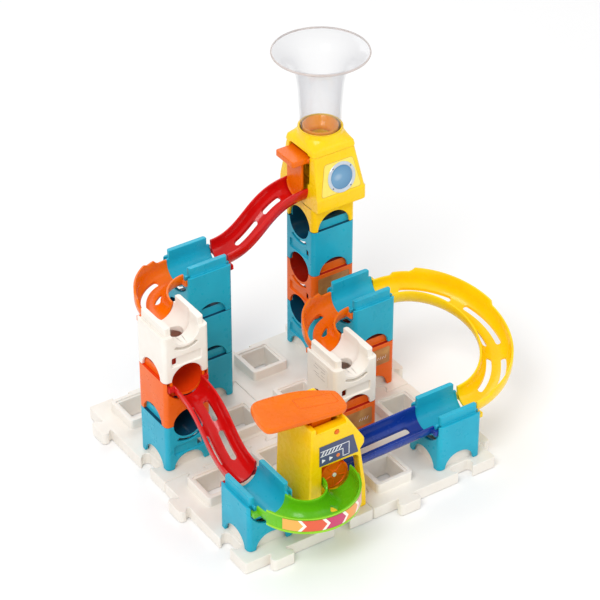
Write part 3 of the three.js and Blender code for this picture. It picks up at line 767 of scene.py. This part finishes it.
def prongs(path, at_start, ledge):
    end = 0 if at_start else path.length
    way = 1 if at_start else -1
    parts = []
    for side in (-1, 1):
        for near, far, a, b in ((10, 19.1, 0, 2.2), (17.2, 19.1, -3.2, 0.5)):
            s0, s1 = sorted((end + way * a, end + way * b))
            x0, x1 = sorted((side * near, side * far))
            loops = [[path.to(x, y, s) for x, y in
                      ((x0, ledge - 8), (x1, ledge - 8), (x1, ledge - 3.5), (x0, ledge - 3.5))]
                     for s in (s0, s1)]
            parts.append(rings(loops))
    return parts


def channel_space(path, at_start):
    """The inside of a track near one end, which its prongs keep out of."""
    s0, s1 = (-6, 6) if at_start else (path.length - 6, path.length + 6)
    outline = arc(0, 0, IN + 0.4, 180, 360, 24) + [(IN + 0.4, 20), (-IN - 0.4, 20)]
    return rings([[path.to(x, y, s) for x, y in outline] for s in (s0, s1)])


def track(node, path, mat, slot, left, right, slots, ends, extra=()):
    body = cut(sweep(path, left, right), *slots)
    hooks = []
    for at_start, ledge in ends:
        hooks += [cut(prong, channel_space(path, at_start)) for prong in prongs(path, at_start, ledge)]
    body = merged([body, *hooks, *extra])
    return finish(body, node + ".shown", mat, slot, [node], bevel=0, sharp=40)


def same(value):
    return lambda s: value


def slide(node, start, end, ends):
    along = Vector((end.x - start.x, end.y - start.y, 0))
    path = bezier(start, start + along * 0.55, end - along * 0.42, end)
    slots = []
    for across in (-6.8, 6.8):
        slots.append(slot_cutter(path, across, 0.2, 0.46, 4.6))
        slots.append(slot_cutter(path, across, 0.56, 0.82, 4.6))
    track(node, path, RED, "red", same(RIM_UP), same(RIM_UP), slots, ends)


slide("upper_red_slide", Vector((centre(3) - HALF - GAP, centre(3), 4 * LEVEL + SENDING)),
      Vector((centre(1) + HALF + GAP, centre(3), 3 * LEVEL + CATCHING)),
      [(False, -CATCHING)])
slide("lower_red_slide", Vector((centre(0), centre(2) - HALF - GAP, 2 * LEVEL + SENDING)),
      Vector((centre(0), centre(0) + HALF + GAP, LEVEL + CATCHING)),
      [(True, -SENDING), (False, -CATCHING)])

for node, i, j, level in (("back_orange_turn", 1, 3, 3), ("right_orange_turn", 3, 2, 2)):
    radius = CELL - HALF - GAP
    path = eased_arc(centre(i) - HALF - GAP, centre(j - 1) + HALF + GAP, radius, 90, 90,
                     level * LEVEL - 1, level * LEVEL - 2.5)
    whole = path.length
    outer = wall_steps(RIM_UP, [(0.13 * whole, 7), (0.28 * whole, 9.9), (0.72 * whole, 7),
                             (0.87 * whole, RIM_UP)])
    slots = [slot_cutter(path, -6.4, 0.2, 0.74, 4.4, bow=-0.8),
             slot_cutter(path, 5.0, 0.36, 0.64, 5.0, taper=0.35)]
    track(node, path, AMBER, "orange", same(RIM_UP), outer, slots, [(True, 1), (False, 2.5)])

bend = eased_arc(centre(3) + HALF + GAP, centre(1), CELL, 90, -180, 2 * LEVEL + SENDING,
                 LEVEL + CATCHING)
whole = bend.length
bend_wall = wall_steps(RIM_UP, [(0.075 * whole, 5.4), (0.15 * whole, 9.4), (0.47 * whole, 5.4),
                             (0.93 * whole, RIM_UP)])
bend_slots = []
for across in (-6.2, 6.6):
    for a, b in ((0.1, 0.32), (0.38, 0.61), (0.68, 0.89)):
        bend_slots.append(slot_cutter(bend, across, a, b, 4.6))
track("yellow_half_turn", bend, YELLOW, "yellow", bend_wall, same(RIM_UP), bend_slots,
      [(True, -SENDING), (False, -CATCHING)])

blue_start = Vector((centre(3) - HALF - GAP, centre(0), LEVEL - 1.4))
blue_end = Vector((94, centre(0), LEVEL - 3.4))
blue = Path(lambda t: blue_start.lerp(blue_end, t), 20)
track("blue_straight_track", blue, BLUE, "blue", same(0.2), same(4.5),
      [slot_cutter(blue, 5.6, 0.12, 0.74, 6), slot_cutter(blue, -5.6, 0.12, 0.74, 6)],
      [(True, 1.4)])

CATCH_X = (centre(0) + centre(1)) / 2
CATCH_HIGH, CATCH_LOW = LEVEL - 1.4, LEVEL - 3
WALL_FROM, WALL_TO = 0.085, 0.915       # the outer wall's ends, as shares of the curve
catch = eased_arc(CATCH_X, -GAP, CELL / 2, 180, 180, CATCH_HIGH, CATCH_LOW)
whole = catch.length
catch_wall = wall_steps(RIM_UP, [(0.09 * whole, 6.2)])
catch_inner = wall_steps(RIM_UP, [(0.78 * whole, 4.8)])


def band_of(path, x0, x1, y0, y1, start, end, parts):
    loops = []
    for k in range(parts + 1):
        s = path.length * (start + (end - start) * k / parts)
        loops.append([path.to(x, y, s) for x, y in
                      ((x0, y0), (x1, y0), (x1, y1), (x0, y1))])
    return rings(loops)


skirt = band_of(catch, -14.75, -13.2, -8.9, 5.6, WALL_FROM, WALL_TO, 60)
track("green_catch_curve", catch, GREEN, "green", catch_inner, catch_wall,
      [slot_cutter(catch, 3.0, 0.3, 0.34, 2.4), slot_cutter(catch, 5.5, 0.61, 0.72, 6.5, taper=0.4)],
      [(True, 1.4)], [skirt])
for name, y0, y1 in (("green_upper_rim", 5.0, 6.5), ("green_lower_rim", -9.0, -6.8)):
    rim = band_of(catch, -15.0, -14.6, y0, y1, WALL_FROM, WALL_TO, 80)
    finish(rim, name, LIME, "green", [], bevel=0.15)


def printed_band():
    path = eased_arc(CATCH_X, -GAP, CELL / 2 + 14.8 + 0.15, 180, 180, CATCH_HIGH, CATCH_LOW)
    parts = 96
    loops = []
    for k in range(parts + 1):
        s = path.length * (0.19 + 0.57 * k / parts)
        loops.append([path.to(0, y, s) for y in (-6.2, 4.6)] + [path.to(-0.25, y, s) for y in (4.6, -6.2)])
    band = rings(loops)
    layer = band.data.uv_layers.new(name="band")
    for polygon in band.data.polygons:
        for loop in polygon.loop_indices:
            index = band.data.loops[loop].vertex_index
            step, corner = divmod(index, 4)
            layer.data[loop].uv = (step / parts, 1.0 if corner in (1, 2) else 0.0)
    return band


def finish_print(obj, name, mat, nodes):
    """A printed piece keeps its mesh as made, because its print follows its corners."""
    obj.name = name
    obj.data.transform(PLACE)
    obj.data.materials.append(mat)
    obj.data.shade_smooth()
    obj.data.set_sharp_from_angle(angle=math.radians(30))
    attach(obj, "run")
    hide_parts(*nodes)


finish_print(printed_band(), "arrow_sticker.shown", arrow_print(), ["arrow_sticker"])


# ---- Launcher house, gate and funnel ----

LAUNCH = Matrix.Translation((centre(3), centre(3), 0))


def square_ring(z, half, corner):
    """Rounded square of that half width; corner is its radius over the half width."""
    parts = 96
    radius = corner * half
    flat_half = half - radius
    points = []
    for k in range(parts):
        a = 2 * math.pi * (k + 0.5) / parts
        dx, dy = math.cos(a), math.sin(a)
        reach = half / max(abs(dx), abs(dy))
        if min(abs(dx), abs(dy)) * reach > flat_half:
            along = (abs(dx) + abs(dy)) * flat_half
            reach = along + math.sqrt(max(0, along * along - 2 * flat_half ** 2 + radius ** 2))
        points.append((dx * reach, dy * reach, z))
    return points


def house():
    foot = prism(rounded(BLOCK, BLOCK, 4.0), 3 * LEVEL + GAP, 175)
    skin = rings([square_ring(*ring) for ring in (
        (161.2, 28.9, 0.13), (161.7, 29.4, 0.13), (173.0, 29.4, 0.13), (174.2, 28.9, 0.13),
        (174.9, 28.4, 0.13), (211.6, 21.9, 0.14), (212.3, 21.3, 0.14), (212.7, 21.3, 0.14),
        (213.2, 22.1, 0.14), (213.7, 22.3, 0.14), (217.6, 21.6, 0.15), (218.4, 21.2, 0.17),
        (219.6, 20.6, 0.32), (221.2, 20.2, 0.55), (223.2, 20.0, 0.8), (225.2, 19.8, 1.0),
        (229.1, 19.8, 1.0), (229.5, 19.4, 1.0))])
    for vertex in skin.data.vertices:
        if vertex.co.z < 212.5:
            vertex.co.x = max(vertex.co.x, -HALF - 0.3)
    body = add(foot, skin)
    inside = HALF - WALL
    chamber = 4 * LEVEL - 1.2
    body = cut(body, box(-inside, inside, -inside, inside, 3 * LEVEL - 1, 161))
    up = Matrix.Translation((0, 0, 3 * LEVEL))
    body = cut(body, moved(prism(arch(16.5, 16.5), -40, 40, "X"), up))
    body = cut(body, moved(prism(arch(16.5, 16.5), -40, 40, "Y"), up))
    body = cut(body, ball(13.3, chamber))
    body = cut(body, prism(arc(0, chamber, 13.3, 180, 360, 30) + [(13.3, 214.2), (-13.3, 214.2)],
                           -30, 0, "X"))
    body = cut(body, prism(disc(13.3), chamber, 214.2))
    body = cut(body, prism(disc(10), 213, 220))
    body = cut(body, prism(disc(17.9, parts=72), 219.2, 231))
    body = cut(body, box(-32, -13, -15.8, 15.8, 184, 213))
    return cut(body, prism(disc(GATE_BORE, GATE_X, GATE_Z, 24), -18.8, 18.8, "Y"))


finish(house(), "launcher_house.shown", YELLOW, "yellow", ["launcher_house"], place=LAUNCH, bevel=0.5)

PIVOT = Matrix.Translation((centre(3) + GATE_X, centre(3), GATE_Z))


def gate():
    pad = prism(rounded(18, 27.6, 2.4, -9, 0, 6), -2.4, 3)
    bottom = 4 * LEVEL + SENDING + 1 - GATE_Z
    outline = [(11.3, 2), (-11.3, 2)] + arc(0, bottom, 11.3, 180, 360, 32)
    plate = prism(outline, -7.7, -5.1, "X")
    outline = arc(0, bottom, 11.3, 180, 360, 32) + arc(0, bottom, 9.8, 360, 180, 32)
    lip = prism(outline, -8.4, -7.5, "X")
    hub = prism(disc(3.0, parts=32), -15.2, 15.2, "Y")
    body = add(pad, plate)
    body = add(body, hub)
    body = add(body, lip)
    return cut(body, prism(disc(GATE_BORE, parts=24), -16, 16, "Y"))


finish(gate(), "launch_gate.shown", AMBER, "orange", ["launch_gate"], body="gate", place=PIVOT, bevel=0.6)

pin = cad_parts["gate_pin"]
pin.data.materials.clear()
pin.data.materials.append(STEEL)

bell = [(17.6, 219.6), (17.6, 231.5), (18.1, 240), (18.7, 252), (19.3, 262), (20.0, 270), (21.2, 277.5),
        (23.2, 284), (26.0, 289.4), (29.6, 293.6), (33.6, 296.6), (37.5, 298.6), (40.5, 299.8),
        (42.2, 300.4), (42.7, 301.1), (42.3, 301.9), (41.2, 302.1)]
inner = [(39.6, 301.4), (36.4, 300.0), (32.6, 298.0), (28.4, 294.8), (24.6, 290.4), (21.7, 284.8),
         (19.8, 278.0), (18.6, 270.4), (17.9, 262), (17.3, 252), (16.7, 240), (16.1, 231.5), (16.1, 219.6)]
finish(lathe(bell + inner, 120), "funnel.shown", CLEAR, "clear", ["funnel"], place=LAUNCH, bevel=0, sharp=60)

RIM = plastic("funnel_rim_plastic", rgb("DCCDC5"), rgb("CFC2BC"), 0.15)
RIM.node_tree.nodes["Principled BSDF"].inputs["Alpha"].default_value = 0.5
rim = [(41.7, 300.3), (42.5, 300.5), (42.75, 301.1), (42.35, 301.9), (41.5, 302.1), (41.3, 301.2)]
finish(lathe(rim, 120), "funnel_rim.shown", RIM, "clear", [], place=LAUNCH, bevel=0, sharp=60)

cup = [(15.7, 219.6), (15.7, 230.2), (15.4, 230.5), (14.9, 230.5), (14.2, 229.6), (12.6, 226.4),
       (10.6, 223.6), (9.5, 222.6), (9.5, 219.6)]
cup_body = lathe(cup, 72)
CUP = plastic("funnel_cup_plastic", rgb("F9A20A"), rgb("F39606"), 0.2, 0.02, 0.3)
finish(cup_body, "funnel_cup.shown", CUP, "orange", ["funnel_cup"], place=LAUNCH, bevel=0, sharp=50)

# The sloping front: u across, v up the slope, w out of it
slope = math.atan2(28.4 - 21.9, 211.6 - 174.9)
FRONT = (LAUNCH @ Matrix.Translation((3, -25.75, 190)) @ Matrix.Rotation(math.pi / 2 - slope, 4, "X"))


def trapezoid(bottom, top, low_v, high_v, radius):
    corners = [(-bottom, low_v), (bottom, low_v), (top, high_v), (-top, high_v)]
    out = []
    for k, corner in enumerate(corners):
        here = Vector(corner)
        before = (Vector(corners[k - 1]) - here).normalized()
        after = (Vector(corners[(k + 1) % 4]) - here).normalized()
        for n in range(7):
            t = n / 6
            a, b = here + before * radius, here + after * radius
            p = a * (1 - t) ** 2 + here * (2 * t * (1 - t)) + b * t * t
            out.append((p.x, p.y))
    return out


finish(prism(trapezoid(20.9, 14.9, -15.0, 14.8, 3.2), -0.4, 0.25), "house_panel_edge", LINE, "print", [],
       place=FRONT, bevel=0.1)
finish(prism(trapezoid(20.4, 14.4, -14.5, 14.3, 3.0), -0.4, 0.35), "house_panel", PANEL, "print", [],
       place=FRONT, bevel=0.1)
AT_PORT = FRONT @ Matrix.Translation((1.5, -1.0, 0))
port = [(11.0, 0.2), (14.2, 0.2), (14.2, 0.6), (13.9, 0.95), (11.5, 0.95), (11.0, 0.5)]
finish(lathe(port), "porthole_sticker.shown", SILVER, "print", ["porthole_sticker"], place=AT_PORT,
       bevel=0, sharp=30)
dome = [(max(0.01, 11.1 * math.cos(a)), 0.35 + 0.6 * math.sin(a))
        for a in (math.pi / 2 * k / 12 for k in range(13))]
glass_loops = [[(r * math.cos(2 * math.pi * k / 64), r * math.sin(2 * math.pi * k / 64), h)
                for k in range(64)] for r, h in [(11.1, 0.15)] + dome]
finish(rings(glass_loops), "porthole_glass", GLASS, "print", [], place=AT_PORT, bevel=0)
for k in range(4):
    a = math.radians(40 + 90 * k)
    screw = prism(disc(0.75, 12.8 * math.cos(a), 12.8 * math.sin(a), 16), 0.8, 1.1)
    finish(screw, f"porthole_screw_{k + 1}", DARK, "print", [], place=AT_PORT, bevel=0.1)


# ---- Lever tower, lever and kicker ----


def lever_tower():
    outline = [(56.5, GAP), (115, GAP), (114, 24), (108.8, 60), (108.4, 63.2), (111.6, 67.2), (112, 68.5),
               (112, 72.2), (111.3, 73.8), (95.4, 99.2), (94, 100.3), (59.8, 100.3)]
    body = soft_corners(prism(outline, FRONT_Y, 48, "Y"), 1.8)
    body = cut(body, box(62, 109, 2.5, 42.5, -1, 16))
    opening = [(69.4, 23), (110.2, 23), (106, 52)] + arc(101, 54, 5, 0, 90, 8) + [(69.4, 60)]
    body = cut(body, prism(opening, FRONT_Y - 1, 7, "Y"))
    body = cut(body, box(92, 117, 6.2, 37.8, 23, 60))
    body = cut(body, box(62.3, 91, 7, 37, 72, 103), box(64, 93, -5, 8, 95.8, 103))
    body = cut(body, prism(disc(LEVER_BORE, PIVOT_X, PIVOT_Z, 32), -5, 43, "Y"))
    return cut(body, prism(disc(AXLE_BORE, PIVOT_X, KICKER_Z, 32), 5, 30, "Y"))


finish(lever_tower(), "lever_tower.shown", YELLOW, "yellow", ["lever_tower"], bevel=0.4)
for node, mat in (("lever_pin", AMBER), ("kicker_axle", WHITE)):
    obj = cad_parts[node]
    obj.data.materials.clear()
    obj.data.materials.append(mat)
    obj.data.shade_smooth()
    obj.data.set_sharp_from_angle(angle=math.radians(40))

LEVER = (Matrix.Translation((PIVOT_X, centre(0), PIVOT_Z)) @ Matrix.Rotation(math.radians(8), 4, "Y"))


def through(points):
    """A closed smooth outline through the points."""
    parts = 6
    out = []
    for k in range(len(points)):
        a, b, c, d = (Vector(points[(k + n) % len(points)]) for n in (-1, 0, 1, 2))
        before, after = (c - a) * 0.5, (d - b) * 0.5
        limit = (c - b).length
        before = before * min(1, limit / before.length)
        after = after * min(1, limit / after.length)
        for n in range(parts):
            t = n / parts
            p = (b * (2 * t ** 3 - 3 * t * t + 1) + before * (t ** 3 - 2 * t * t + t)
                 + c * (3 * t * t - 2 * t ** 3) + after * (t ** 3 - t * t))
            out.append((p.x, p.y))
    return out


def lever():
    outline = through([(-48, 20), (-56, 18), (-61.4, 12.5), (-66.4, -3), (-67.4, -15), (-65.6, -19.8),
                       (-59, -21.2), (-24, -20.8), (6, -19.7), (13, -16.5), (16, -9.6), (17.6, 2),
                       (16, 7.5), (-8, 18), (-30, 20.4)])
    body = soft_corners(prism(outline, 12.1, 17.3), 1.5)
    body = add(body, box(-18, 1.5, -13, 13, -3, 13))
    body = add(body, prism(disc(4.2, parts=40), -13, 13, "Y"))
    body = cut(body, prism(disc(LEVER_BORE, parts=32), -14, 14, "Y"))
    outer = prism(rounded(37, 14.4, 2.4), 16.7, 18)
    groove = cut(outer, prism(rounded(35.4, 12.8, 1.8), 16, 19))
    return cut(body, moved(groove, Matrix.Translation((-7, 0, 0)) @ turn_z(-6)))


finish(lever(), "press_lever.shown", AMBER, "orange", ["press_lever"], body="lever", place=LEVER, bevel=0.3)

KICKER = Matrix.Translation((PIVOT_X, 0, KICKER_Z))


def kicker():
    body = prism(disc(13.6, parts=72), 0.6, 5.6, "Y")
    body = cut(body, box(5, 16, -1, 7, 8.4, 16))
    body = cut(body, prism(disc(AXLE_BORE, parts=32), 0, 7, "Y"))
    body = cut(body, prism(disc(11.4, parts=60), 0, 1.3, "Y"))
    hub = cut(prism(disc(4.2, parts=36), 0.7, 5.0, "Y"), prism(disc(AXLE_BORE, parts=32), 0, 7, "Y"))
    body = add(body, hub)
    for k in range(5):
        a = 72 * k + 20
        rib = moved(box(3.9, 11.6, 0.7, 2.0, -0.7, 0.7), Matrix.Rotation(math.radians(a), 4, "Y"))
        body = add(body, rib)
    return body


finish(kicker(), "kicker_wheel.shown", ORANGE, "orange", ["kicker_wheel"], body="kicker", place=KICKER,
       bevel=0.25)


# ---- Stickers ----

def plate(outline, y, depth, name, mat, nodes=()):
    """A thin sheet facing -Y, from y to that much further forward."""
    finish(prism(outline, y - depth, y, "Y"), name, mat, "print", list(nodes), bevel=0)


label_z = LEVEL - 12.5
for k, (node, i, j, level) in enumerate((("centre_block_sticker", 2, 1, 0), ("right_block_sticker", 3, 2, 0),
                                         ("launch_block_sticker", 3, 3, 1))):
    x, y, z = centre(i), centre(j) - HALF - 0.1, label_z + level * LEVEL
    plate(rounded(33, 17, 1.5, x, z), y, SHEET, node + ".shown", label_print(f"label_print_{k + 1}", 0.3 * k),
          [node])
    for n in range(4):
        u = x + 3.2 + 2.6 * n
        stroke = [(u, z - 3.0), (u + 0.5, z - 3.0), (u + 1.7, z - 0.4 + 0.5 * (n % 2)), (u + 1.2, z - 0.4)]
        plate(stroke, y - SHEET, MARK, f"label_stroke_{k + 1}_{n + 1}", PAPER)

SHEET_X, SHEET_Z = 67.0, 61.7
slant = [(SHEET_X, SHEET_Z), (SHEET_X + 38.3, SHEET_Z), (SHEET_X + 33, SHEET_Z + 19.8),
         (SHEET_X, SHEET_Z + 19.8)]
FACE = FRONT_Y - 0.1
plate(slant, FACE, SHEET, "path_sticker.shown", INK, ["path_sticker"])


def bar(x0, z0, x1, z1, width, name):
    """A printed white line on the lever tower's sticker."""
    way = Vector((x1 - x0, z1 - z0)).normalized()
    side = Vector((-way.y, way.x)) * width / 2
    points = [(x0 + side.x, z0 + side.y), (x1 + side.x, z1 + side.y),
              (x1 - side.x, z1 - side.y), (x0 - side.x, z0 - side.y)]
    plate(points, FACE - SHEET, MARK, name, PAPER)


marks = [(0.8, 14.6, 29.3, 14.6), (29.0, 14.6, 29.0, 1.9), (29.3, 2.2, 22.7, 2.2), (23.0, 2.2, 23.0, 9.8),
         (23.3, 9.8, 0.8, 9.8)]
for n, (u0, v0, u1, v1) in enumerate(marks):
    bar(SHEET_X + u0, SHEET_Z + v0, SHEET_X + u1, SHEET_Z + v1, 0.65, f"path_line_{n + 1}")
for n in range(6):
    u = SHEET_X + 2.0 + 3.4 * n
    bar(u, SHEET_Z + 10.3, u + 2.6, SHEET_Z + 14.1, 1.0, f"path_hatch_{n + 1}")
for n, u in enumerate((2.4, 9.6)):
    x, z = SHEET_X + u, SHEET_Z + 2.8
    plate([(x, z), (x + 3.6, z + 2.1), (x, z + 4.2)], FACE - SHEET, MARK, f"path_arrow_{n + 1}", PAPER)
plate(disc(1.8, SHEET_X + 18.2, SHEET_Z + 5.0, 24), FACE - SHEET, MARK, "path_dot", DOT)

art_x = centre(2) - HALF - 0.1
art = prism(rounded(24, 17, 1.5, centre(1), LEVEL + label_z), art_x - SHEET, art_x, "X")
finish(art, "white_block_sticker.shown", WHITE, "print", ["white_block_sticker"], bevel=0)
for n, (u, v, length, tilt) in enumerate(((-8, 5, 15, 3), (-8, 2.4, 6, -4), (2, 2.2, 7, 4), (-7, -2, 5, 2),
                                          (1, -2.6, 8, -3), (-8, -5.4, 14, 2))):
    a = math.radians(tilt)
    u0, v0 = centre(1) + u, LEVEL + label_z + v
    u1, v1 = u0 + length * math.cos(a), v0 + length * math.sin(a)
    stroke = prism([(u0, v0), (u1, v1), (u1, v1 + 0.3), (u0, v0 + 0.3)],
                   art_x - SHEET - MARK, art_x - SHEET, "X")
    finish(stroke, f"pencil_line_{n + 1}", PENCIL, "print", [], bevel=0)


# ---- Floor, light and camera ----

def floor():
    mat, _, _, bsdf = material("pale_floor")
    bsdf.inputs["Base Color"].default_value = (0.93, 0.93, 0.93, 1)
    bsdf.inputs["Roughness"].default_value = 0.75
    obj = solid([(-6, -6, 0), (6, -6, 0), (6, 6, 0), (-6, 6, 0)], [(0, 1, 2, 3)])
    obj.name = "floor"
    obj.location.z = -0.0005
    obj.data.materials.append(mat)


floor()

world = bpy.data.worlds.new("soft_sky")
bpy.context.scene.world = world
world.use_nodes = True
world.node_tree.nodes["Background"].inputs["Color"].default_value = (1.0, 1.0, 1.0, 1)
world.node_tree.nodes["Background"].inputs["Strength"].default_value = 0.74


def lamp(name, power, size, where):
    """A square lamp that looks at the middle of the run."""
    data = bpy.data.lights.new(name, "AREA")
    data.energy = power
    data.size = size
    obj = bpy.data.objects.new(name, data)
    obj.location = where
    way = Vector((0, 0, 0.12)) - Vector(where)
    obj.rotation_euler = way.to_track_quat("-Z", "Y").to_euler()
    bpy.context.scene.collection.objects.link(obj)


lamp("key", 19, 0.9, (-1.1, -0.7, 1.7))
lamp("fill", 6, 1.4, (1.2, -1.5, 1.0))
lamp("back", 6, 1.0, (0.5, 1.5, 1.4))

camera = bpy.data.objects.new("camera", bpy.data.cameras.new("camera"))
camera.data.sensor_width = 36
camera.data.lens = 154.3
camera.data.clip_end = 20
camera.data.shift_x = 0.0015
bpy.context.scene.collection.objects.link(camera)
camera.location = PLACE @ Vector((-855.0, -1355.3, 1359.3))
across, down = math.radians(56.30), math.radians(34.68)
sight = Vector((math.cos(down) * math.cos(across), math.cos(down) * math.sin(across), -math.sin(down)))
camera.rotation_euler = sight.to_track_quat("-Z", "Y").to_euler()
bpy.context.scene.camera = camera
bpy.context.scene.view_settings.view_transform = "Standard"
